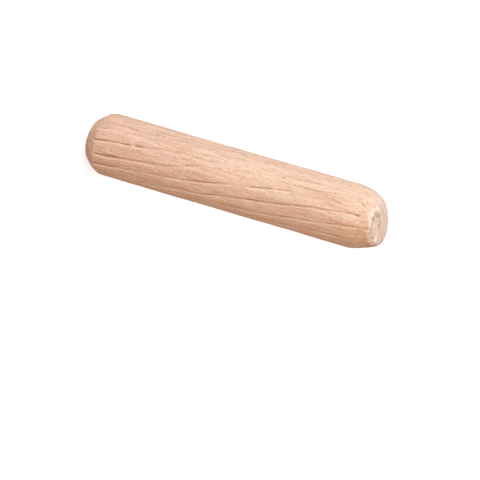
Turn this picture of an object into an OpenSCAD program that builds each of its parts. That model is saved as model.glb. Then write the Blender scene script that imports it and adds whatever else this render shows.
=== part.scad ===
// Spiral-fluted hardwood dowel pin, standing on one of its chamfered ends.
// The pin's axis is +Z and the origin is the centre of the lower end.
// Its lands are one true cylinder, so the pin presses into a drilled hole of the same diameter,
// and its flutes let glue and air out of that hole.

/* [Pin] */
// Diameter over the lands, which is also the drilled hole that the pin presses into
pin_d = 8; // [6:0.5:16]
// Overall length, end to end
pin_length = 40; // [25:1:80]

/* [Ends] */
// Length of the chamfer along the pin, before its edges are rounded
chamfer_length = 1.9; // [1:0.1:3]
// How far the chamfer comes in from the lands, square to the axis
chamfer_depth = 1.8; // [0.8:0.1:2]
// Radius of the shoulder, where the lands turn into the chamfer
shoulder_radius = 1.2; // [0.4:0.1:1.6]
// Radius of the rim, where the chamfer turns into the flat end
rim_radius = 1; // [0.2:0.1:1.4]

/* [Flutes] */
// Number of flutes round the pin
flute_count = 15; // [10:1:18]
// Width of a flute's mouth, at the lands
flute_width = 0.45; // [0.3:0.05:0.7]
// Depth of a flute below the lands
flute_depth = 0.28; // [0.15:0.01:0.4]
// Radius at the root of a flute
flute_root_radius = 0.08; // [0.05:0.01:0.12]
// Lean of the flutes from the axis, at the lands; they wind to the left on the way up
flute_helix_angle = 8.5; // [2:0.5:15]

/* [Hidden] */
land_r = pin_d / 2;
// Radius of the flat end before its rim is rounded
end_r = land_r - chamfer_depth;
// Lean of the chamfer from the axis
chamfer_angle = atan(chamfer_depth / chamfer_length);
// Turn of the flutes, in degrees for each millimetre of the pin's length
flute_turn_rate = tan(flute_helix_angle) / land_r * 180 / PI;
// The flutes are turned in slices of about this many degrees
slice_turn = 4;
// Flats that make up the round root of a flute
root_steps = 4;
// Cutters stand this far proud of the surfaces that they cut
cut_clearance = 0.2;
// Facets of the turned surfaces
turned_fn = 96;

// Sliver between a sharp corner of an outline and the arc that rounds it.
// edge_a and edge_b are unit vectors that leave the corner along its two edges.
module corner_sliver(corner, edge_a, edge_b, radius) {
    half_angle = acos(edge_a * edge_b) / 2;
    setback = radius / tan(half_angle);
    bisector = (edge_a + edge_b) / norm(edge_a + edge_b);
    difference() {
        polygon([corner, corner + edge_a * setback, corner + edge_b * setback]);
        translate(corner + bisector * radius / sin(half_angle)) circle(r = radius, $fn = turned_fn);
    }
}

// Half section of the pin's lower half: flat end, rounded rim, chamfer, rounded shoulder, lands
module half_outline() {
    along_chamfer = [sin(chamfer_angle), cos(chamfer_angle)];
    rim = [end_r, 0];
    shoulder = [land_r, chamfer_length];
    difference() {
        polygon([[0, 0], rim, shoulder, [land_r, pin_length / 2], [0, pin_length / 2]]);
        corner_sliver(rim, [-1, 0], along_chamfer, rim_radius);
        corner_sliver(shoulder, -along_chamfer, [0, 1], shoulder_radius);
    }
}

// The plain pin, turned from end to end
module blank() {
    rotate_extrude($fn = turned_fn) {
        half_outline();
        translate([0, pin_length]) mirror([0, 1]) half_outline();
    }
}

// Section of one flute on the +X side: an arc at the root, and straight walls that open outwards
module flute_section() {
    root_x = land_r - flute_depth + flute_root_radius;
    root_rise = flute_depth - flute_root_radius;
    // The walls touch the root arc and are flute_width apart at the lands
    wall_angle = acos(flute_root_radius / norm([flute_width / 2, root_rise]))
        - atan2(root_rise, flute_width / 2);
    mouth_x = land_r + cut_clearance;
    mouth_half = flute_width / 2 + cut_clearance * tan(wall_angle);
    root_arc = [
        for (step = [0:root_steps])
            let (a = 90 + wall_angle + (180 - 2 * wall_angle) * step / root_steps)
            [root_x + flute_root_radius * cos(a), flute_root_radius * sin(a)]
    ];
    polygon(concat(root_arc, [[mouth_x, -mouth_half], [mouth_x, mouth_half]]));
}

// All the flutes, wound round the pin and running out at both ends
module flutes() {
    cut_length = pin_length + 2 * cut_clearance;
    cut_turn = flute_turn_rate * cut_length;
    translate([0, 0, -cut_clearance])
        linear_extrude(height = cut_length, twist = cut_turn, slices = ceil(cut_turn / slice_turn))
            for (i = [0:flute_count - 1])
                rotate(i * 360 / flute_count) flute_section();
}

module dowel_pin() {
    color([0.84, 0.66, 0.52]) difference() {
        blank();
        flutes();
    }
}

dowel_pin();
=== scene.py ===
"""Spiral-fluted beech dowel pin: its wood, the studio that lights it and the camera.

The pin stands on its lower end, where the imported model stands. Sizes are in millimetres and angles in
degrees where nothing else is said, until a mesh, a lamp or the camera takes them. Heights run up the
pin from its lower end face, and angles round it run from +X towards +Y.
"""

import logging
import math
from dataclasses import dataclass, replace
from enum import Enum

import bpy
import numpy as np
from bpy.types import ID, Material, Mesh, Node, NodeSocket, NodeTree, World
from mathutils import Matrix, Vector, noise


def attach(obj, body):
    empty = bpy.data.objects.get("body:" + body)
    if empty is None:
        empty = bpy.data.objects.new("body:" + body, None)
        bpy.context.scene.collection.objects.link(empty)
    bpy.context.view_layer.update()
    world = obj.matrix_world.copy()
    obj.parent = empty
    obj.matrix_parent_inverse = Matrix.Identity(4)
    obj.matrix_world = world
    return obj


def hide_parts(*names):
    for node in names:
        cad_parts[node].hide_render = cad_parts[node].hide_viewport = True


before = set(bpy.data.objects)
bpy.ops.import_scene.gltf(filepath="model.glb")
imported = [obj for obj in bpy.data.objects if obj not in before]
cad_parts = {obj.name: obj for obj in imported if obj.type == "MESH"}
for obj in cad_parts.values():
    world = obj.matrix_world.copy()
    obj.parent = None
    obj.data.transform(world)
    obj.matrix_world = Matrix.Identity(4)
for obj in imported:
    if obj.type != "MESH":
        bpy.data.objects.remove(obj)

LOG = logging.getLogger("dowel_pin")
MM = 0.001  # metres in a millimetre
Array = np.ndarray


def linear(colour: str) -> tuple[float, ...]:
    """Turns an sRGB hex colour, as "#RRGGBB", into linear red, green, blue and an alpha of 1."""
    parts = [int(colour[i : i + 2], 16) / 255 for i in (1, 3, 5)]
    return *(p / 12.92 if p <= 0.04045 else ((p + 0.055) / 1.055) ** 2.4 for p in parts), 1.0


def add_node(
    tree: NodeTree,
    kind: str,
    inputs: dict[int | str, object] | None = None,
    **settings: object,
) -> Node:
    """Adds one shader node with its settings, values and links.

    Args:
        tree: The node tree that gets the node.
        kind: Blender's name for the node, without its "ShaderNode".
        inputs: A value, or the socket of another node to link, for each input by name or number.
        settings: The node's own properties.

    Returns:
        The new node.
    """
    node = tree.nodes.new("ShaderNode" + kind)
    for name, value in settings.items():
        setattr(node, name, value)
    for name, value in (inputs or {}).items():
        if isinstance(value, NodeSocket):
            tree.links.new(value, node.inputs[name])
        else:
            node.inputs[name].default_value = value
    return node


def cleared(owner: Material | World) -> NodeTree:
    """Gives a material or the world an empty node tree.

    Args:
        owner: The material or the world.

    Returns:
        The tree.
    """
    owner.use_nodes = True
    owner.node_tree.nodes.clear()
    return owner.node_tree


def placed(name: str, data: ID) -> bpy.types.Object:
    """Makes an object and puts it in the scene.

    Args:
        name: The object's name.
        data: Its mesh, lamp or camera.

    Returns:
        The object.
    """
    made = bpy.data.objects.new(name, data)
    bpy.context.scene.collection.objects.link(made)
    return made


def travelled(line: Array) -> Array:
    """Measures the way along a line of points to each of them."""
    return np.concatenate([[0], np.cumsum(np.linalg.norm(np.diff(line, axis=0), axis=1))])


def eye_rays(tree: NodeTree) -> NodeSocket:
    """Tells the rays that the eye sees, also by way of gloss and glass, from those that light things.

    Args:
        tree: The node tree of the floor or the world.

    Returns:
        The socket that is 1 for the eye's rays.
    """
    path = add_node(tree, "LightPath").outputs
    shown = path["Is Camera Ray"]
    for other in ("Is Glossy Ray", "Is Transmission Ray"):
        both = {0: shown, 1: path[other]}
        shown = add_node(tree, "Math", both, operation="MAXIMUM").outputs[0]
    return shown


def ease(low: float, high: float, value: Array) -> Array:
    """Rises smoothly from 0 at low to 1 at high, and stays there outside them."""
    t = np.clip((value - low) / (high - low), 0, 1)
    return t * t * (3 - 2 * t)


def hump(middle: float, width: float, value: Array) -> Array:
    """Makes a round hump, which is 1 in its middle and about a third at its width from there."""
    return np.exp(-(((value - middle) / width) ** 2))


@dataclass(frozen=True)
class GrainField:
    """Smooth random field on the pin's skin, made of cells that lie along the grain."""

    across: float  # width of a cell round the pin
    along: float  # length of a cell along the grain
    seed: int  # start of the random draws

    GIRTH = 8 * math.pi  # way round the pin
    LOWEST, HIGHEST = -5, 55  # heights that the field covers
    SPARE_CELLS = 3  # for the strips' own starts and for the cell after the last

    def another(self, number: int) -> "GrainField":
        """Gives a field with cells of the same size and draws of its own."""
        return replace(self, seed=self.seed + number)

    def at(self, angle: Array | float, height: Array) -> Array:
        """Reads the field.

        Args:
            angle: Angles round the pin.
            height: Places along the grain, from LOWEST to HIGHEST.

        Returns:
            Values from -1 to 1, in the shape of the two arrays together.
        """
        draws = np.random.default_rng(self.seed)
        strips = round(self.GIRTH / self.across)
        cells = math.ceil((self.HIGHEST - self.LOWEST) / self.along) + self.SPARE_CELLS
        values = draws.uniform(-1, 1, (strips, cells))
        starts = draws.uniform(0, 1, strips)
        place = (angle / 360 % 1) * strips
        first = np.floor(place).astype(int)
        share = ease(0, 1, place - first)
        total = 0.0
        for strip, weight in ((first % strips, 1 - share), ((first + 1) % strips, share)):
            step = (height - self.LOWEST) / self.along + starts[strip]
            cell = np.floor(step).astype(int)
            part = ease(0, 1, step - cell)
            total = total + weight * (
                values[strip, cell] * (1 - part) + values[strip, cell + 1] * part
            )
        return total


@dataclass(frozen=True)
class Crumbs:
    """Rough relief that runs the same way in every direction, as on end grain whose fibres tore."""

    size: float  # size of the largest crumbs
    seed: float  # where the relief is cut from the noise

    FINER, WEAKER = 0.45, 0.6  # size and height of the crumbs laid over them, as shares of theirs
    GAIN = 1.3  # brings the noise to about -1 to 1

    def at(self, places: Array) -> Array:
        """Reads the relief.

        Args:
            places: Places, with the last axis of three.

        Returns:
            Values from about -1 to 1, without that axis.
        """
        aside = Vector((self.seed, 3.7 * self.seed, 0.0))
        read = [
            noise.noise(Vector(place) / self.size + aside)
            + self.WEAKER * noise.noise(Vector(place) / (self.FINER * self.size) - aside)
            for place in places.reshape(-1, 3).tolist()
        ]
        return self.GAIN * np.array(read).reshape(places.shape[:-1])


@dataclass
class Skin:
    """The pin's skin as a grid of rows from the lower face's centre to the upper one's."""

    out: Array  # distance of each row from the axis
    up: Array  # height of each row
    normal_out: Array  # how far the skin's normal looks out, for each row
    normal_up: Array  # how far it looks up
    way: Array  # way along the outline from the lower face's centre
    step: Array  # every which column a row keeps, because a face needs fewer near its middle
    rims: tuple[int, int]  # the rows of the lower rim and the upper one
    base: Array  # angle of each column where the flutes start
    angle: Array  # angle of each point round the pin

    # The flat layout, in a picture that is 1 wide and 1 high.
    MARGIN = 0.01  # room round the strip and the discs
    DISC_RADIUS = 0.065
    DISCS_ACROSS = (0.1, 0.3)  # middles of the lower face's disc and the upper one's

    def numbers(self) -> Array:
        """Numbers the points.

        Returns:
            The number of each row's columns, the first one again at the end, and then a row for the
            centre of each face. Places with no point hold -1.
        """
        rows, columns = len(self.out), len(self.base)
        numbers = np.full((rows + 2, columns + 1), -1)
        count = 0
        for row, step in enumerate(self.step):
            kept = columns // step
            numbers[row, :columns:step] = np.arange(count, count + kept)
            count += kept
        numbers[:rows, columns] = numbers[:rows, 0]
        numbers[rows], numbers[rows + 1] = count, count + 1
        return numbers

    def faces(self) -> list[Array]:
        """Joins the rows into faces that look outwards.

        Returns:
            The row and column of each face's corners, in groups between neighbouring rows.
        """
        rows, columns = len(self.out), len(self.base)
        shapes = []
        for row in range(rows - 1):
            fine, coarse = sorted((int(self.step[row]), int(self.step[row + 1])))
            start = np.arange(0, columns, coarse)
            stops = (start, start + fine, start + coarse)
            left, middle, right = ((row, stop) for stop in stops)
            next_left, next_middle, next_right = ((row + 1, stop) for stop in stops)
            if fine == coarse:
                shapes.append((left, right, next_right, next_left))
            elif self.step[row] == coarse:
                shapes.append((left, next_middle, next_left))
                shapes.append((left, right, next_middle))
                shapes.append((right, next_right, next_middle))
            else:
                shapes.append((left, middle, next_left))
                shapes.append((middle, next_right, next_left))
                shapes.append((middle, right, next_right))
        for row, centre, ahead in ((0, rows, False), (rows - 1, rows + 1, True)):
            start = np.arange(0, columns, int(self.step[row]))
            end = start + int(self.step[row])
            first, second = (start, end) if ahead else (end, start)
            shapes.append(((centre, start), (row, first), (row, second)))
        return [
            np.stack([np.stack([np.full_like(at, on), at], 1) for on, at in shape], 1)
            for shape in shapes
        ]

    def unrolled(self, faces: list[Array]) -> Array:
        """Lays the skin out flat: the shank and chamfers as a strip, and each face as a disc over it.

        Args:
            faces: What faces() returns.

        Returns:
            A place from 0 to 1 across and up for each corner of each face.
        """
        rows, columns = len(self.out), len(self.base)
        low, high = self.rims
        tall = 1 - 3 * self.MARGIN - 2 * self.DISC_RADIUS
        rise = self.MARGIN + tall * (self.way - self.way[low]) / (self.way[high] - self.way[low])
        out = np.append(self.out, (0.0, 0.0))
        turned = np.radians(np.append(self.base, self.base[0] + 360))
        places = []
        for group in faces:
            row, column = group[..., 0], group[..., 1]
            if row.min() >= low and row.max() <= high:
                place = self.MARGIN + (1 - 2 * self.MARGIN) * column / columns, rise[row]
            else:
                upper = bool(row.max() == rows + 1 or high <= row.min() < rows)
                middle = self.DISCS_ACROSS[upper]
                arm, at = self.DISC_RADIUS * out[row] / self.out[self.rims[upper]], turned[column]
                level = 1 - self.MARGIN - self.DISC_RADIUS
                place = middle + arm * np.cos(at), level + arm * np.sin(at)
            places.append(np.stack(place, -1).reshape(-1, 2))
        return np.vstack(places)


class Trace(Enum):
    """What the mesh tells the wood's layers, by the name of its attribute."""

    ROSY_AND_SHADE = "rosy_and_shade"
    FLUTE_AND_SHADE = "flute"
    TORN_AND_SHADE = "torn_and_shade"
    CREST_HIGHLIGHT = "crest_and_highlight"
    END_GRAIN = "end_grain"
    FRAYED = "frayed"


@dataclass
class Relief:
    """What the tools and the grain left at each point of the grid, and the shade and highlights painted
    there.
    """

    depth: Array  # depth below the outline
    groove: Array  # how much of a flute is there, as a share of its full depth
    crest_and_highlight: Array  # how much of a pale edge, painted as a highlight; beside a flute it is also raised
    torn_and_shade: Array  # how torn the fibres are and how dark they are painted, partly as shade in pits and hollows
    browned: Array  # how brown the cutter left the end grain
    frayed: Array  # how pale and frayed the saw left it
    rosy_and_shade: Array  # how rosy and dark the wood is: partly its own tone, partly painted shade towards the lower end
    coarse: Array  # coarse crumbs near the ends, from about -1 to 1
    fine: Array  # fine ones

    def traces(self) -> dict[Trace, Array]:
        """Lists what the wood shows at each point."""
        frayed = np.clip(self.frayed, 0, 1)
        return {
            Trace.ROSY_AND_SHADE: self.rosy_and_shade,
            Trace.FLUTE_AND_SHADE: self.groove,
            Trace.TORN_AND_SHADE: np.clip(self.torn_and_shade, 0, 1),
            Trace.CREST_HIGHLIGHT: np.clip(self.crest_and_highlight, 0, 1),
            Trace.END_GRAIN: np.clip(self.browned, 0, 1) * (1 - frayed),
            Trace.FRAYED: frayed,
        }


class Side(Enum):
    """Which end of the pin, with the direction in which its face looks."""

    LOWER = -1
    UPPER = 1


@dataclass(frozen=True)
class PinEnd:
    """A chamfered end of the pin."""

    side: Side  # which end it is
    chamfer_length: float  # length of the chamfer along the pin
    chamfer_depth: float  # how far the chamfer comes in from the shank
    shoulder_radius: float  # rounding between the shank and the chamfer
    rim_radius: float  # rounding between the chamfer and the end face
    face_gap: float  # way between the mesh's rows on the face
    slope_gap: float  # way between them on the chamfer and its shoulder
    crisp_towards: float = 0.0  # angle round the pin where the shoulder was left sharp
    crisp: float = 0.0  # how sharp it was left there, from 0 to 1
    bulge: float = 0.0  # how far the chamfer's middle stands out from a straight cone
    lean: float = 0.0  # how far the face leans
    lean_towards: float = 0.0  # angle round the pin to which the face looks
    shift: float = 0.0  # how far the face's middle lies off the pin's axis
    shift_towards: float = 0.0  # angle round the pin to which it lies off
    # How far the face's middle lies short of the pin's full length. Less than 0 is past it.
    drop: float = 0.0
    reach: float = 1.0  # how deep below the face the lean and the shift fade out
    crumbs: float = 0.0  # height of the torn crumbs round the rim
    browned: float = 0.0  # how brown the cutter left the end grain, from 0 to 1
    rubbed: float = 0.0  # how brown the cutter left the band where the flutes run out, from 0 to 1
    frayed: float = 0.0  # how pale and frayed the saw left the end grain, from 0 to 1
    frayed_towards: float = 0.0  # angle round the pin where the fraying runs furthest down

    ARC_POINTS = 12  # points on each rounding
    POINT_GAP = 0.05  # way between the outline's points
    SHOULDER_ROOM = 1.2  # way past the chamfer that gets close rows too
    REACH = 5  # depth below its face that an end's marks keep to

    def outline(self, radius: float, middle: float) -> Array:
        """Draws the end's outline from its centre to the middle of the shank.

        Args:
            radius: Radius of the shank.
            middle: Length of this half of the pin.

        Returns:
            Points as rows of distance from the axis and distance from the end face, close together.
        """
        rim = radius - self.chamfer_depth
        corners = np.array([(0, 0), (rim, 0), (radius, self.chamfer_length), (radius, middle)])
        points = [corners[0]]
        for i, rounding in ((1, self.rim_radius), (2, self.shoulder_radius)):
            before, corner, after = corners[i - 1 : i + 2]
            back = (before - corner) / np.linalg.norm(before - corner)
            ahead = (after - corner) / np.linalg.norm(after - corner)
            half = math.acos(float(np.clip(back @ ahead, -1, 1))) / 2
            reach = rounding / math.tan(half)
            centre = corner + (back + ahead) / np.linalg.norm(back + ahead) * (
                rounding / math.sin(half)
            )
            start, end = corner + back * reach - centre, corner + ahead * reach - centre
            for share in np.linspace(0, 1, self.ARC_POINTS):
                arm = start * (1 - share) + end * share
                points.append(centre + arm / np.linalg.norm(arm) * rounding)
        line = np.array([*points, corners[3]])
        way = travelled(line)
        close = np.append(np.arange(0, way[-1], self.POINT_GAP), way[-1])
        line = np.stack([np.interp(close, way, line[:, i]) for i in (0, 1)], axis=1)
        along = np.array([self.chamfer_length, -self.chamfer_depth])
        swell = np.sin(np.pi * np.clip(line[:, 1] / self.chamfer_length, 0, 1))
        return line + self.bulge * swell[:, None] * along / np.linalg.norm(along)

    def stops(self, radius: float) -> tuple[Array, Array]:
        """Sets out rows over the end.

        Args:
            radius: Radius of the shank.

        Returns:
            Ways along the outline from the face's centre, on the face and then on the chamfer.
        """
        rim = radius - self.chamfer_depth
        slope = math.hypot(self.chamfer_length, self.chamfer_depth) + self.SHOULDER_ROOM
        return np.arange(self.face_gap, rim, self.face_gap), np.arange(rim, rim + slope, self.slope_gap)

    def crispness(self, angle: Array) -> Array:
        """Tells how sharp the shoulder was left at each angle, from 0 to 1."""
        return self.crisp * ease(0.7, 0.92, np.cos(np.radians(angle - self.crisp_towards)))

    def sharpening(self, skin: Skin, radius: float, deep: Array) -> Array:
        """Works out how far the skin stands out where the shoulder was left sharp.

        Args:
            skin: The grid.
            radius: Radius of the shank.
            deep: Depths below the face.

        Returns:
            How far the skin moves out along its normal.
        """
        out, normal_out = skin.out[:, None], skin.normal_out[:, None]
        size = math.hypot(self.chamfer_length, self.chamfer_depth)
        slope_out, slope_in = self.chamfer_length / size, self.chamfer_depth / size
        normal_in = np.sqrt(np.clip(1 - normal_out**2, 0, 1))
        to_shank = (radius - out) / np.maximum(normal_out, 0.2)
        rim = radius - self.chamfer_depth
        off = (rim - out) * slope_out + deep * slope_in
        to_slope = off / (normal_out * slope_out + normal_in * slope_in)
        shoulder = (deep > 0.4 * self.chamfer_length) & (deep < self.REACH)
        gap = np.clip(np.minimum(to_shank, to_slope), 0, None) * shoulder
        return gap * self.crispness(skin.angle)

    def wear(self, relief: Relief, skin: Skin, radius: float, deep: Array) -> None:
        """Leaves the marks of the cutter and the saw on the end, and paints shade and a highlight at
        the sharp shoulder.

        Args:
            relief: What takes the marks.
            skin: The grid.
            radius: Radius of the shank.
            deep: Depths below the face.
        """
        out, coarse, fine = skin.out[:, None], relief.coarse, relief.fine
        near = deep < self.REACH
        cut = ease(0.25, 0.6, np.abs(skin.normal_up))[:, None] * near
        relief.browned += self.browned * cut * (0.9 + 0.3 * coarse + 0.2 * fine)
        # The heel of the cutter rubbed a brown band where the flutes run out.
        rubbed = hump(radius - 0.45, 0.1, out) * near
        relief.browned += self.rubbed * rubbed * np.clip(0.6 + 0.6 * coarse, 0, 1)
        wide = ease(-0.3, 0.8, np.cos(np.radians(skin.angle - self.frayed_towards)))
        patchy = (1 - ease(0.4, 0.8 + 2.0 * wide, deep)) * np.clip(0.75 + 0.4 * coarse, 0, 1)
        relief.frayed += self.frayed * np.maximum(1 - ease(0.3, 0.7, deep), patchy) * near
        edge = 0.35 + 0.65 * hump(radius - self.chamfer_depth, 0.45, out)
        edge = edge * (deep < self.chamfer_length)
        relief.depth -= self.crumbs * edge * (0.1 + 0.6 * fine + 0.5 * coarse) * cut
        relief.depth -= self.sharpening(skin, radius, deep)
        # Below the sharp shoulder a dark line of painted shade is laid, and along its edge a pale line
        # of painted highlight.
        sharp = self.crispness(skin.angle) * np.clip(0.7 + 0.5 * coarse, 0, 1)
        dark = 0.5 * sharp * hump(self.chamfer_length - 0.1, 0.12, deep)
        pale = 0.45 * sharp * hump(self.chamfer_length + 0.12, 0.09, deep)
        relief.torn_and_shade, relief.crest_and_highlight = np.maximum(relief.torn_and_shade, dark), np.maximum(relief.crest_and_highlight, pale)

    def skew(self, points: Array, deep: Array) -> Array:
        """Leans and shifts the points near the face.

        Args:
            points: Places, with the last axis of three.
            deep: How deep below the face each point lies on the straight pin.

        Returns:
            The moved places.
        """
        share = np.clip(1 - deep / self.reach, 0, 1) ** 2
        lean, side = (math.radians(a) for a in (self.lean_towards, self.shift_towards))
        slope = math.tan(math.radians(self.lean)) * self.side.value
        rise = -slope * (points[..., 0] * math.cos(lean) + points[..., 1] * math.sin(lean))
        moved = points.copy()
        moved[..., 0] += share * self.shift * math.cos(side)
        moved[..., 1] += share * self.shift * math.sin(side)
        moved[..., 2] += share * (rise - self.drop * self.side.value)
        return moved


@dataclass(frozen=True)
class Bite:
    """A stretch of one flute that the rollers pressed or tore deeper."""

    flute: int  # number of the flute
    start: float  # height where the stretch starts
    end: float  # height where it ends
    force: float  # how deep it goes, as a share of the flute's full depth
    aside: float = 0.0  # how far it has slipped round the pin


@dataclass(frozen=True)
class Tear:
    """A splinter's bed: a short pit along the grain where a few fibres tore out."""

    angle: float  # where it is round the pin
    middle: float  # height of its middle
    length: float  # how long it is
    width: float = 0.16  # how wide it is
    depth: float = 0.07  # how deep it is

    def share(self, angle: Array, height: Array, radius: float) -> Array:
        """Works out how much of the tear's depth each place has.

        Args:
            angle: Angles round the pin.
            height: Heights up the pin.
            radius: Radius of the pin.

        Returns:
            From 0 outside the tear to 1 along its middle.
        """
        aside = ((angle - self.angle + 180) % 360 - 180) * math.pi / 180 * radius
        off = np.abs(height - self.middle)
        return np.clip(1 - (aside / self.width * 2) ** 2 - (off / self.length * 2) ** 3, 0, 1)


@dataclass(frozen=True)
class Hollow:
    """The oval hollow that the saw tore out of an end face, longer round the pin than across it."""

    aside: float  # how far its middle lies off the face's middle
    towards: float  # angle round the pin to which it lies off
    half_width: float  # half its width, towards the pin's axis
    half_length: float  # half its length, round the pin
    depth: float  # how deep it is

    REACH = 2  # depth below the face that its marks keep to

    def wear(self, relief: Relief, skin: Skin, deep: Array) -> None:
        """Sinks the hollow, with a ring of painted shade inside its ragged edge and a pale band of
        painted highlight outside it.

        Args:
            relief: What takes the hollow.
            skin: The grid.
            deep: Depths below the face.
        """
        out, turned = skin.out[:, None], np.radians(skin.angle - self.towards)
        across, along = out * np.cos(turned) - self.aside, out * np.sin(turned)
        # The hollow's edge is where this is about 1.
        off = np.hypot(across / self.half_width, along / self.half_length)
        off = off + 0.1 * relief.coarse + 0.04 * relief.fine
        on_face = deep < self.REACH
        relief.depth += on_face * self.depth * (1 - ease(0.7, 1.05, off))
        # The dark ring is painted shade under the edge, and the pale band a painted highlight.
        dark = 0.72 * hump(0.9, 0.17, off) * np.clip(0.9 + 0.25 * relief.coarse, 0, 1)
        pale = on_face * hump(1.17, 0.09, off) * ease(1.9, 2.4, out)
        relief.torn_and_shade = np.maximum(relief.torn_and_shade, on_face * dark)
        relief.crest_and_highlight = np.maximum(relief.crest_and_highlight, pale)


@dataclass(frozen=True, kw_only=True)
class Layer:
    """A colour laid over the wood where a pattern shows it."""

    colour: str
    low: float = 0.0  # the pattern's value where the colour starts to show
    high: float = 1.0  # the pattern's value where it shows the most
    share: float = 1.0  # how much of it shows there
    within: Trace | None = None  # the trace that the layer stays within, if any

    def pattern(self, tree: NodeTree, place: NodeSocket) -> NodeSocket:
        """Adds the pattern's nodes, and tells the socket that holds its value."""
        raise NotImplementedError

    def lay(
        self, tree: NodeTree, place: NodeSocket, under: NodeSocket | tuple[float, ...]
    ) -> NodeSocket:
        """Lays the colour over what is under it.

        Args:
            tree: The material's node tree.
            place: The point on the pin, in metres.
            under: The colour under it, or its socket.

        Returns:
            The socket that holds the new colour.
        """
        shown = add_node(
            tree,
            "MapRange",
            {0: self.pattern(tree, place), 1: self.low, 2: self.high, 3: 0.0, 4: self.share},
            interpolation_type="SMOOTHSTEP",
        ).outputs[0]
        if self.within:
            kept = add_node(tree, "Attribute", attribute_name=self.within.value).outputs["Fac"]
            shown = add_node(tree, "Math", {0: shown, 1: kept}, operation="MULTIPLY").outputs[0]
        colours = {0: shown, 6: under, 7: linear(self.colour)}
        return add_node(tree, "Mix", colours, data_type="RGBA").outputs[2]


@dataclass(frozen=True, kw_only=True)
class Figure(Layer):
    """A layer that follows the solid wood's own figure, which is drawn out along the grain."""

    across: float  # size of the figure across the grain
    along: float  # size of the figure along the grain
    detail: float = 2.0  # how many finer figures are laid over it

    def pattern(self, tree: NodeTree, place: NodeSocket) -> NodeSocket:
        """Adds a noise that is drawn out along the grain.

        Args:
            tree: The material's node tree.
            place: The point on the pin, in metres.

        Returns:
            The socket that holds the noise, about 0.3 to 0.7.
        """
        sizes = (1 / (self.across * MM), 1 / (self.across * MM), 1 / (self.along * MM))
        drawn = add_node(tree, "Mapping", {"Vector": place, "Scale": sizes}).outputs[0]
        figure = add_node(tree, "TexNoise", {"Vector": drawn, "Scale": 1.0, "Detail": self.detail})
        return figure.outputs["Fac"]


@dataclass(frozen=True, kw_only=True)
class Mark(Layer):
    """A layer that shows where the mesh carries a trace."""

    trace: Trace

    def pattern(self, tree: NodeTree, place: NodeSocket) -> NodeSocket:
        """Adds the node that reads the trace, wherever the point is."""
        return add_node(tree, "Attribute", attribute_name=self.trace.value).outputs["Fac"]


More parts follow.
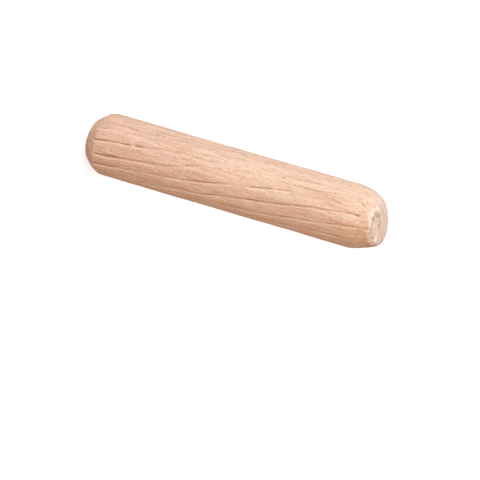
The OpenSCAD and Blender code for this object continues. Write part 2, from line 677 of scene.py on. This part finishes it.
@dataclass(frozen=True)
class BareBeech:
    """Beech that was turned, fluted and left bare, so it is dry, matt and a little fuzzy."""

    body: str = "#F3CAB0"  # colour of most of the wood
    # The figure, fibres, vessels, worked places and painted shade and highlights, in the order in which
    # they are laid.
    layers: tuple[Layer, ...] = (
        # One end of the rod grew nearer the rosy heart of the tree; its darker tone there is also
        # painted shade.
        Mark(colour="#D69D89", trace=Trace.ROSY_AND_SHADE, share=0.46),
        # Annual rings are 2 to 3 mm wide, so a pin this thin holds a few broad bands of them.
        Figure(colour="#E7B799", across=2.4, along=70, detail=1, low=0.42, high=0.62, share=0.55),
        Figure(colour="#F4D3B3", across=0.9, along=18, low=0.45, high=0.68, share=0.6),
        # Streaks are bundles of fibres.
        Figure(colour="#D6A383", across=0.4, along=9, low=0.48, high=0.68, share=0.62),
        # Fibres are drawn about 0.15 mm wide: real ones are a sixth of that and would not show.
        Figure(colour="#FFEDDE", across=0.16, along=3.0, low=0.5, high=0.68, share=0.36),
        Figure(colour="#C28C6B", across=0.14, along=2.0, low=0.54, high=0.7, share=0.5),
        # The fibres' cut ends leave the skin finely mottled.
        Figure(colour="#FFF3E8", across=0.17, along=0.24, low=0.5, high=0.66, share=0.3),
        Figure(colour="#C79676", across=0.15, along=0.2, low=0.52, high=0.68, share=0.28),
        # Vessels open on the skin as short dark dashes, and rays as flecks a little wider.
        Figure(colour="#9C6A47", across=0.11, along=1.0, detail=1, low=0.66, high=0.74, share=0.4),
        Figure(colour="#BB8664", across=0.25, along=1.4, detail=1, low=0.66, high=0.74, share=0.2),
        Mark(colour="#C3936F", trace=Trace.END_GRAIN, share=0.3),
        Mark(colour="#ECCDBE", trace=Trace.FRAYED),
        # The saw left the fraying in light and dark tufts.
        Figure(
            colour="#FFF2E4", across=0.5, along=0.5, low=0.45, high=0.65, share=0.8, within=Trace.FRAYED
        ),
        Figure(
            colour="#9C7763", across=0.3, along=0.4, low=0.6, high=0.72, share=0.5, within=Trace.FRAYED
        ),
        # The flutes are painted brown: partly wood that the rollers pressed, partly painted shade in
        # the grooves.
        Mark(colour="#A0653F", trace=Trace.FLUTE_AND_SHADE, low=0.4, share=0.58),
        # Raised edges are painted pale as a highlight.
        Mark(colour="#FFEFDF", trace=Trace.CREST_HIGHLIGHT, share=0.5),
        # Torn places are painted dark: partly the torn fibres' brown, partly painted shade in their
        # pits.
        Mark(colour="#8E6047", trace=Trace.TORN_AND_SHADE, low=0.1, share=0.58),
    )
    # The figure whose fibres stand proud.
    fibres: Figure = Figure(colour="#FFFFFF", across=0.14, along=4.0)
    proud: float = 0.03  # how far they stand proud
    roughness: float = 0.72  # roughness of the skin
    unevenness: float = 0.08  # how far the fibres change it either way
    gloss: float = 0.3  # strength of its reflection

    def material(self) -> Material:
        """Builds the material, which the eye reads as dry wood by its streaks and its lack of shine.

        Returns:
            The material.
        """
        made = bpy.data.materials.new("bare_beech")
        tree = cleared(made)
        place = add_node(tree, "TexCoord").outputs["Object"]
        wood = linear(self.body)
        for layer in self.layers:
            wood = layer.lay(tree, place, wood)
        fibres = self.fibres.pattern(tree, place)
        smooth, rough = self.roughness - self.unevenness, self.roughness + self.unevenness
        dull = add_node(tree, "MapRange", {0: fibres, 1: 0.3, 2: 0.7, 3: smooth, 4: rough})
        rise = {"Height": fibres, "Strength": 0.6, "Distance": self.proud * MM}
        skin = add_node(
            tree,
            "BsdfPrincipled",
            {
                "Base Color": wood,
                "Roughness": dull.outputs[0],
                "Normal": add_node(tree, "Bump", rise).outputs[0],
                "IOR": 1.5,
                "Specular IOR Level": self.gloss,
            },
        )
        add_node(tree, "OutputMaterial", {"Surface": skin.outputs[0]})
        return made


@dataclass
class DowelPin:
    """The pin: a beech rod with spiral flutes and a chamfer at each end."""

    length: float = 40.0  # length between the end faces
    radius: float = 4.0  # radius over the lands
    flute_count: int = 15  # number of flutes
    flute_depth: float = 0.2  # full depth of a flute
    wall_width: float = 0.18  # width of a flute's steep wall
    lip_width: float = 0.4  # width of the gentle slope that comes up from a flute's floor
    turn: float = 2.1404  # angle by which the flutes wind to the left for each mm up the pin
    start_height: float = -0.2  # height at which flute 0 is at angle 0
    # Heights, and the angle by which all the flutes have slipped round there.
    creep: tuple[tuple[float, float], ...] = (
        (0, -4.5),
        (5, -2.0),
        (9, 0.3),
        (20, 0.0),
        (25, -1.2),
        (29, -3.6),
        (34, -1.2),
        (38, 0.6),
        (40, 0.8),
    )
    columns: int = 24  # columns of the mesh from one flute to the next
    crowding: float = 0.35  # how much closer together they stand at a flute than halfway to the next
    shank_rows: int = 152  # rows of the mesh between the chamfers
    # Radii on a face, and every which column is kept within each.
    thinned: tuple[tuple[float, int], ...] = ((0.6, 8), (1.2, 4), (2.4, 2))
    bite_fade: float = 0.35  # half the height over which a bite starts or ends
    # How far in from the shank the flutes have run out, and how far in they start to.
    run_out: tuple[float, float] = (0.6, 0.35)
    # Waves in how deep the flutes are, of which each flute has its own.
    waves: GrainField = GrainField(2.0, 4.0, 310)
    unevenness: GrainField = GrainField(0.6, 2.0, 41)  # smaller changes in how deep they are
    # Bends to both sides, of which each flute has its own.
    bends: GrainField = GrainField(2.0, 2.6, 520)
    wander: float = 0.05  # how far a flute wanders aside in them
    steps: GrainField = GrainField(0.22, 1.5, 560)  # steps of the flutes' edges along the fibres
    jag: float = 0.04  # how far the edges step aside
    crest_height: float = 0.025  # how far the rollers pushed the wood beside a flute up
    pressed: float = 0.028  # how far they pushed the land round it down
    splinters: GrainField = GrainField(0.17, 1.6, 77)  # splinters' beds beside the flutes
    splinter_depth: float = 0.07  # how deep they are
    # Bundles of fibres, and how far those of each size stand proud or lie low.
    bundles: tuple[tuple[GrainField, float], ...] = (
        (GrainField(0.35, 6.0, 91), 0.02),
        (GrainField(0.2, 3.5, 92), 0.01),
        (GrainField(0.2, 0.3, 94), 0.01),
        (GrainField(3.0, 9.0, 93), 0.02),
    )
    # The coarse and the fine crumbs of the torn end grain.
    crumbs: tuple[Crumbs, Crumbs] = (Crumbs(0.9, 5.1), Crumbs(0.36, 11.3))
    crumbs_reach: float = 3.0  # depth below an end face that they reach
    # Heights between which the wood's rosy tone, partly painted shade, fades away.
    rosy_and_shade_fade: tuple[float, float] = (2.0, 26.0)
    # The end that the pin stands on.
    lower: PinEnd = PinEnd(
        side=Side.LOWER,
        chamfer_length=1.95,
        chamfer_depth=1.68,
        shoulder_radius=2.4,
        rim_radius=1.9,
        face_gap=0.2,
        slope_gap=0.11,
        crisp_towards=-82.0,
        crisp=0.9,
        crumbs=0.02,
        browned=0.45,
    )
    # The end that was sawn off askew.
    upper: PinEnd = PinEnd(
        side=Side.UPPER,
        chamfer_length=3.5,
        chamfer_depth=1.5,
        shoulder_radius=1.0,
        rim_radius=1.4,
        face_gap=0.065,
        slope_gap=0.085,
        bulge=0.3,
        lean=9.9,
        lean_towards=-176.0,
        shift=0.23,
        shift_towards=-11.0,
        drop=-0.18,
        reach=1.6,
        crumbs=0.1,
        browned=0.9,
        rubbed=0.5,
        frayed=1.0,
        frayed_towards=168.0,
    )
    # The hollow in the upper end face.
    hollow: Hollow = Hollow(
        aside=1.72, towards=-90.0, half_width=1.06, half_length=1.75, depth=0.32
    )
    # Where single flutes are deep.
    bites: tuple[Bite, ...] = (
        Bite(10, 1.6, 3.4, 0.7),
        Bite(11, 1.7, 3.6, 1.25),
        Bite(11, 3.4, 5.2, 0.6),
        Bite(11, 5.2, 6.8, 0.75),
        Bite(11, 7.2, 8.6, 0.75),
        Bite(11, 8.6, 14.0, 0.35),
        Bite(12, 2.0, 5.4, 1.0, 0.15),
        Bite(12, 5.4, 10.5, 0.6, 0.3),
        Bite(12, 10.5, 13.6, 0.45, 0.3),
        Bite(12, 13.6, 16.5, 0.5),
        Bite(13, 1.8, 5.2, 1.2),
        Bite(13, 5.2, 9.5, 0.45),
        Bite(13, 9.5, 11.8, 0.8),
        Bite(13, 11.8, 17.0, 0.75, 0.15),
        Bite(13, 17.0, 19.6, 0.7),
        Bite(13, 19.6, 23.2, 0.35),
        Bite(13, 23.2, 26.4, 0.75),
        Bite(13, 26.8, 28.8, 0.7),
        Bite(13, 33.2, 35.2, 0.4),
        Bite(14, 8.0, 16.0, 0.65, 0.15),
        Bite(14, 16.0, 20.0, 0.75, 0.1),
        Bite(14, 20.0, 23.0, 0.4),
        Bite(14, 23.0, 26.0, 0.85),
        Bite(14, 26.0, 29.5, 0.55, 0.15),
        Bite(14, 29.5, 32.0, 0.85),
        Bite(14, 32.0, 36.0, 0.6),
        Bite(14, 36.0, 37.3, 0.55),
        Bite(14, 37.3, 38.2, 0.9),
        Bite(0, 16.0, 25.0, 0.6),
        Bite(0, 25.0, 33.0, 0.7, 0.25),
        Bite(0, 33.0, 35.5, 0.6),
        Bite(0, 35.5, 38.2, 0.85),
        Bite(1, 24.0, 36.0, 0.7),
    )
    # Where fibres tore out away from the flutes.
    tears: tuple[Tear, ...] = (
        Tear(-129, 2.5, 1.3, 0.11, 0.05),
        Tear(-119, 1.9, 0.5),
        Tear(-114, 14.1, 0.9),
        Tear(-105.5, 14.8, 0.6),
        Tear(-108, 16.0, 0.4),
        Tear(-125, 17.6, 0.8),
        Tear(-115, 19.0, 0.7),
        Tear(-120, 20.0, 0.4),
        Tear(-121, 21.0, 0.4),
        Tear(-108, 22.2, 0.6),
        Tear(-147, 20.5, 3.0, 0.12, 0.04),
        Tear(-134, 27.2, 0.8, 0.2, 0.08),
        Tear(-126, 31.0, 6.0, 0.12, 0.04),
        Tear(-120, 33.5, 5.0, 0.12, 0.04),
        Tear(-131, 34.0, 3.0, 0.1, 0.03),
        Tear(-137, 33.0, 0.5),
        Tear(-120, 34.2, 1.1, 0.14, 0.05),
        Tear(-129, 38.1, 0.3, 0.3, 0.1),
        Tear(-136, 38.4, 0.25, 0.25, 0.08),
        Tear(-103.5, 37.9, 0.5, 0.3, 0.15),
        Tear(-161, 39.7, 0.4, 0.3, 0.15),
        Tear(-140, 39.33, 0.3, 0.28, 0.1),
        Tear(-172, 39.66, 0.3, 0.25, 0.08),
        Tear(-198, 39.55, 0.25, 0.25, 0.08),
        Tear(-100, 39.87, 0.2, 0.3, 0.1),
    )
    finish: BareBeech = BareBeech()

    FLAT_BELOW = 0.001  # height of the rows that belong to the lower face

    def skin(self) -> Skin:
        """Sets out the rows and columns of the mesh, closer together on the ends and at the flutes.

        Returns:
            The grid.
        """
        half = self.length / 2
        low = self.lower.outline(self.radius, half)
        high = self.upper.outline(self.radius, half)[::-1]
        high[:, 1] = self.length - high[:, 1]
        line = np.vstack([low, high[1:]])
        way = travelled(line)
        low_face, low_slope = self.lower.stops(self.radius)
        high_face, high_slope = (way[-1] - stops[::-1] for stops in self.upper.stops(self.radius))
        shank = np.linspace(low_slope[-1], high_slope[0], self.shank_rows + 2)[1:-1]
        stops = np.concatenate([low_face, low_slope, shank, high_slope, high_face])
        out = np.interp(stops, way, line[:, 0])
        near = 0.02
        slide_out, slide_up = (
            np.interp(stops + near, way, line[:, i]) - np.interp(stops - near, way, line[:, i])
            for i in (0, 1)
        )
        size = np.hypot(slide_out, slide_up)
        share = (np.arange(self.columns) / self.columns + 0.5) % 1 - 0.5
        share = share - self.crowding * np.sin(2 * np.pi * share) / (2 * np.pi)
        flute = np.repeat(np.arange(self.flute_count), self.columns)
        base = (flute + np.tile(share % 1, self.flute_count)) * 360 / self.flute_count
        rims = (len(low_face), len(stops) - len(high_face) - 1)
        inside = np.ones(len(stops), bool)
        inside[rims[0] : rims[1] + 1] = False
        within, every = zip(*self.thinned)
        step = np.select([inside & (out < radius) for radius in within], every, 1)
        up = np.interp(stops, way, line[:, 1])
        slip = np.interp(up, *np.array(self.creep).T)
        wound = slip - self.turn * (up - self.start_height)
        angle = base[None] + wound[:, None]
        return Skin(out, up, slide_up / size, -slide_out / size, stops, step, rims, base, angle)

    def flute_force(self, height: Array) -> Array:
        """Works out how deep each flute is at each height.

        Args:
            height: Heights up the pin.

        Returns:
            A share of the full depth for each height and flute.
        """
        force = np.zeros((len(height), self.flute_count))
        # A flute with bites is faint between them, and one without is about half as deep all along.
        bitten = {bite.flute for bite in self.bites}
        for flute in range(self.flute_count):
            base, swing = (0.1, 0.1) if flute in bitten else (0.5, 0.6)
            force[:, flute] = base + swing * self.waves.another(flute).at(0.0, height)
        for bite in self.bites:
            inside = ease(bite.start - self.bite_fade, bite.start + self.bite_fade, height)
            past = ease(bite.end - self.bite_fade, bite.end + self.bite_fade, height)
            inside = inside * (1 - past)
            force[:, bite.flute] = np.maximum(force[:, bite.flute], bite.force * inside)
        return np.clip(force, 0.04, 1.2)

    def flutes(self, skin: Skin) -> tuple[Array, Array]:
        """Finds where each point lies in its flute.

        Args:
            skin: The grid.

        Returns:
            The way round the pin from the flute to each point, and how deep the flute is there, as a
            share of the full depth.
        """
        up = skin.up[:, None]
        pitch = 360 / self.flute_count
        flute = np.floor(skin.base / pitch + 0.5).astype(int) % self.flute_count
        aside = ((skin.base / pitch + 0.5) % 1 - 0.5) * math.radians(pitch) * self.radius
        slips = [
            self.wander * self.bends.another(i).at(0.0, skin.up) for i in range(self.flute_count)
        ]
        for bite in self.bites:
            middle, half = (bite.start + bite.end) / 2, (bite.end - bite.start) / 2
            slips[bite.flute] += bite.aside * hump(middle, 1.2 * half, skin.up)
        # A flute crosses the straight grain, so its edges break into steps along the fibres.
        jag = self.jag * self.steps.at(skin.angle, up)
        place = aside[None] - np.stack(slips, axis=1)[:, flute] - jag
        uneven = 1 + 0.4 * self.unevenness.at(skin.angle, up)
        return place, self.flute_force(skin.up)[:, flute] * uneven

    def relief(self, skin: Skin) -> Relief:
        """Works the flutes, the tears, the grain and the ends' marks into the skin.

        Args:
            skin: The grid.

        Returns:
            The finished relief.
        """
        out, up, angle = skin.out[:, None], skin.up[:, None], skin.angle
        place, force = self.flutes(skin)
        wall = ease(-self.wall_width, 0, place) * (place < 0)
        # The lip comes up fast from the floor and then more and more gently.
        lip = (place >= 0) * (
            0.6 * (1 - ease(0, 0.5 * self.lip_width, place))
            + 0.4 * (1 - ease(0, 1.6 * self.lip_width, place))
        )
        # A flute runs out as the chamfer comes in.
        spare = ease(*(self.radius - gone for gone in self.run_out), out)
        # The material paints the groove brown, partly as painted shade in the flute.
        groove = force * (wall + lip) * spare
        # The lip's raised edge is painted pale as well, as a highlight.
        crest_and_highlight = force * hump(0.6 * self.lip_width, 0.1, place) * spare
        # The rollers also pushed the wood down on both sides of the flute.
        broad = force * hump(0.1, 0.5, place) * spare
        depth = self.flute_depth * groove - self.crest_height * crest_and_highlight + self.pressed * broad

        # Fibres that the flutes cut across have torn out of the land beside them. Their beds are
        # painted dark, partly as shade in the pits.
        near = hump(0, 0.35, place) * force
        torn_and_shade = ease(0.5, 0.85, self.splinters.at(angle, up)) * (0.1 + 0.8 * near) * spare
        depth = depth + self.splinter_depth * torn_and_shade
        # Each tear's pit is painted dark too, partly as shade.
        for tear in self.tears:
            share = tear.share(angle, up, self.radius) * np.ones_like(depth)
            depth = depth + tear.depth * share
            torn_and_shade = np.maximum(torn_and_shade, share)
        # Bundles of fibres stand a little proud of each other, and the rod is not quite round.
        along_side = ease(0.3, 0.8, skin.normal_out)[:, None]
        for bundle, height in self.bundles:
            depth = depth + height * bundle.at(angle, up) * along_side

        turned = np.radians(angle)
        places = np.stack([out * np.cos(turned), out * np.sin(turned), up + 0 * turned], axis=-1)
        near_end = np.abs(skin.up - self.length / 2) > self.length / 2 - self.crumbs_reach
        browned, frayed, coarse, fine = (np.zeros_like(depth) for _ in range(4))
        coarse[near_end], fine[near_end] = (crumbs.at(places[near_end]) for crumbs in self.crumbs)
        # The lower end is painted rosier and darker: partly the wood's own tone, partly painted shade.
        rosy_and_shade = (1 - ease(*self.rosy_and_shade_fade, up)) * np.ones_like(depth)
        relief = Relief(depth, groove, crest_and_highlight, torn_and_shade, browned, frayed, rosy_and_shade, coarse, fine)
        for end, deep in ((self.lower, up), (self.upper, self.length - up)):
            end.wear(relief, skin, self.radius, deep)
        self.hollow.wear(relief, skin, self.length - up)
        return relief

    def mesh(self) -> Mesh:
        """Builds the pin's skin as one closed mesh, with the wood's traces and its flat layout on it.

        Returns:
            The mesh.
        """
        skin = self.skin()
        relief = self.relief(skin)
        turned = np.radians(skin.angle)
        arm = skin.out[:, None] - relief.depth * skin.normal_out[:, None]
        rise = skin.up[:, None] - relief.depth * skin.normal_up[:, None]
        # The lower face stays flat, so that the pin stands.
        rise = np.where(skin.up[:, None] < self.FLAT_BELOW, 0.0, np.maximum(rise, 0.0))
        grid = np.stack([arm * np.cos(turned), arm * np.sin(turned), rise], axis=-1)
        grid = self.upper.skew(grid, (self.length - skin.up)[:, None])

        numbers = skin.numbers()
        rows = len(skin.out)
        used = numbers[:rows, :-1] >= 0
        centres = [grid[row][used[row]].mean(axis=0) for row in (0, rows - 1)]
        points = np.vstack([grid[used], centres]) * MM
        groups = skin.faces()
        faces = [face for group in groups for face in numbers[group[..., 0], group[..., 1]].tolist()]
        mesh = bpy.data.meshes.new("dowel_pin_wood")
        mesh.from_pydata(points.tolist(), [], faces)
        for trace, values in relief.traces().items():
            written = mesh.attributes.new(trace.value, "FLOAT", "POINT")
            ends = [values[row][used[row]].mean() for row in (0, rows - 1)]
            written.data.foreach_set("value", np.append(values[used], ends).astype(np.float32))
        flat = mesh.uv_layers.new(name="OFBake")
        flat.uv.foreach_set("vector", skin.unrolled(groups).astype(np.float32).ravel())
        mesh.polygons.foreach_set("use_smooth", np.ones(len(mesh.polygons), bool))
        mesh.update()
        return mesh

    def build(self) -> None:
        """Makes the pin and puts it in the frame in place of its CAD node."""
        pin = placed("dowel_pin_wood", self.mesh())
        pin.data.materials.append(self.finish.material())
        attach(pin, "root")
        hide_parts("dowel_pin")
        pin.data.calc_loop_triangles()
        LOG.info("%s: %d triangles", pin.name, len(pin.data.loop_triangles))


@dataclass(frozen=True)
class Viewpoint:
    """The camera: where it stands and how it is turned."""

    azimuth: float = -12.24  # way round the pin from the -Y side
    elevation: float = 19.87  # height above the pin's middle
    roll: float = 106.28  # how far the pin's axis is turned clockwise from upright in the picture
    distance: float = 500.0  # distance from the pin's middle
    focal: float = 8.346  # focal length in picture widths
    # Where the pin's middle falls, right of and above the centre, in picture widths.
    offset: tuple[float, float] = (-0.0102, 0.1229)
    middle: float = 20.0  # height of the pin's middle

    def axes(self) -> tuple[Vector, Vector, Vector]:
        """Works out the picture's directions for a camera that is aimed at the pin's middle.

        Returns:
            The picture's right, its up and the way back to the camera.
        """
        turn, lift, roll = (math.radians(a) for a in (self.azimuth, self.elevation, self.roll))
        level = Vector((math.cos(turn), math.sin(turn), 0))
        back = Vector((level.y * math.cos(lift), -level.x * math.cos(lift), math.sin(lift)))
        upright = back.cross(level)
        right = level * math.cos(roll) + upright * math.sin(roll)
        return right, back.cross(right), back

    def build(self) -> None:
        """Makes the camera and gives it to the scene."""
        right, up, back = self.axes()
        middle = Vector((0, 0, self.middle * MM))
        aim = back + (right * self.offset[0] + up * self.offset[1]) / self.focal
        aim.normalize()
        side = (right - aim * right.dot(aim)).normalized()
        rise = aim.cross(side)
        data = bpy.data.cameras.new("view")
        data.sensor_width = 36.0
        data.lens = self.focal * data.sensor_width
        data.clip_start, data.clip_end = 0.05, 20.0
        camera = placed("view", data)
        turned = Matrix((side, rise, aim)).transposed().to_4x4()
        camera.matrix_world = Matrix.Translation(middle + back * self.distance * MM) @ turned
        bpy.context.scene.camera = camera
        LOG.info("camera: %.1f mm lens", data.lens)


@dataclass(frozen=True)
class Lamp:
    """A soft lamp that looks at the pin's middle."""

    name: str
    aside: float  # how far it stands to the picture's right, as a share of its direction
    above: float  # how far it stands to the picture's top
    before: float  # how far it stands towards the camera
    light: float  # light that it sends back from a white card at the pin, where 1 is white
    colour: str = "#FFFFFF"  # colour of its light
    distance: float = 600.0  # distance from the pin
    size: float = 420.0  # side of its square panel

    def build(self, view: Viewpoint) -> None:
        """Makes the lamp.

        Args:
            view: The viewpoint that its directions are told from.
        """
        right, up, back = view.axes()
        way = (right * self.aside + up * self.above + back * self.before).normalized()
        data = bpy.data.lights.new(self.name, "AREA")
        data.size = self.size * MM
        # A panel of power P lights a card at distance d as white when P is (pi d) squared.
        data.energy = self.light * (math.pi * self.distance * MM) ** 2
        data.color = linear(self.colour)[:3]
        lamp = placed(self.name, data)
        lamp.location = Vector((0, 0, view.middle * MM)) + way * self.distance * MM
        lamp.rotation_mode = "QUATERNION"
        lamp.rotation_quaternion = way.to_track_quat("Z", "Y")
        lamp.visible_camera = False
        LOG.info("lamp %s: %.2f W", self.name, data.energy)


@dataclass(frozen=True)
class WhitePaint:
    """Matt emulsion, rolled on: the floor's finish, which takes a soft shadow and shows no gloss."""

    colour: str = "#D8D8D8"
    glow: float = 0.75  # light that it adds for the eye alone, so that it shows white outside shadows

    def material(self) -> Material:
        """Builds the material, which the eye reads as a plain white ground.

        Returns:
            The material.
        """
        paint = bpy.data.materials.new("matt_white_paint")
        tree = cleared(paint)
        coat = add_node(tree, "BsdfDiffuse", {"Color": linear(self.colour)})
        glow = add_node(tree, "Math", {0: eye_rays(tree), 1: self.glow}, operation="MULTIPLY")
        light = add_node(tree, "Emission", {"Strength": glow.outputs[0]})
        both = add_node(tree, "AddShader", {0: coat.outputs[0], 1: light.outputs[0]})
        add_node(tree, "OutputMaterial", {"Surface": both.outputs[0]})
        return paint


@dataclass(frozen=True)
class Studio:
    """A white floor under soft light."""

    lamps: tuple[Lamp, ...] = (
        Lamp("top", 0.25, 0.8, 0.55, 0.58, "#D9EFFF"),
        Lamp("front", 0.3, 0.1, 0.95, 0.58, "#FFF8F0"),
        Lamp("low", 0.0, -0.9, 0.4, 0.14, "#FFB67C"),
        Lamp("side", 0.95, 0.1, 0.3, 0.28, "#FFF8F4"),
        Lamp("back", 0.0, 0.3, -0.8, 0.5),
    )
    ambient: float = 0.15  # light from all round, where 1 is white
    ambient_colour: str = "#FFE6CC"  # colour of that light
    paint: WhitePaint = WhitePaint()  # the floor's finish
    floor_side: float = 8000.0  # side of the square floor
    floor_gap: float = 0.01  # how far it lies under the pin

    def floor(self) -> None:
        """Lays the floor just under the pin."""
        half, drop = self.floor_side / 2 * MM, -self.floor_gap * MM
        mesh = bpy.data.meshes.new("studio_floor")
        corners = [(x * half, y * half, drop) for x, y in ((-1, -1), (1, -1), (1, 1), (-1, 1))]
        mesh.from_pydata(corners, [], [(0, 1, 2, 3)])
        mesh.materials.append(self.paint.material())
        floor = placed("studio_floor", mesh)

    def sky(self) -> None:
        """Surrounds the pin with even light, which the eye sees as white."""
        world = bpy.data.worlds.new("studio_walls")
        bpy.context.scene.world = world
        tree = cleared(world)
        even, wall = (
            add_node(tree, "Background", {"Color": linear(colour), "Strength": strength}).outputs[0]
            for colour, strength in ((self.ambient_colour, self.ambient), ("#FFFFFF", 1.0))
        )
        mixed = add_node(tree, "MixShader", {0: eye_rays(tree), 1: even, 2: wall})
        add_node(tree, "OutputWorld", {"Surface": mixed.outputs[0]})

    def build(self, view: Viewpoint) -> None:
        """Builds the floor, the surroundings and the lamps.

        Args:
            view: The viewpoint that the lamps' directions are told from.
        """
        self.floor()
        self.sky()
        for lamp in self.lamps:
            lamp.build(view)
        bpy.context.scene.view_settings.view_transform = "Standard"
        LOG.info("studio: %d lamps", len(self.lamps))


def main() -> None:
    """Builds the pin, the camera and the studio."""
    logging.basicConfig(level=logging.INFO, format="%(name)s: %(message)s")
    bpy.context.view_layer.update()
    view = Viewpoint()
    view.build()
    DowelPin().build()
    Studio().build(view)
    bpy.context.view_layer.update()


if __name__ == "__main__":
    main()
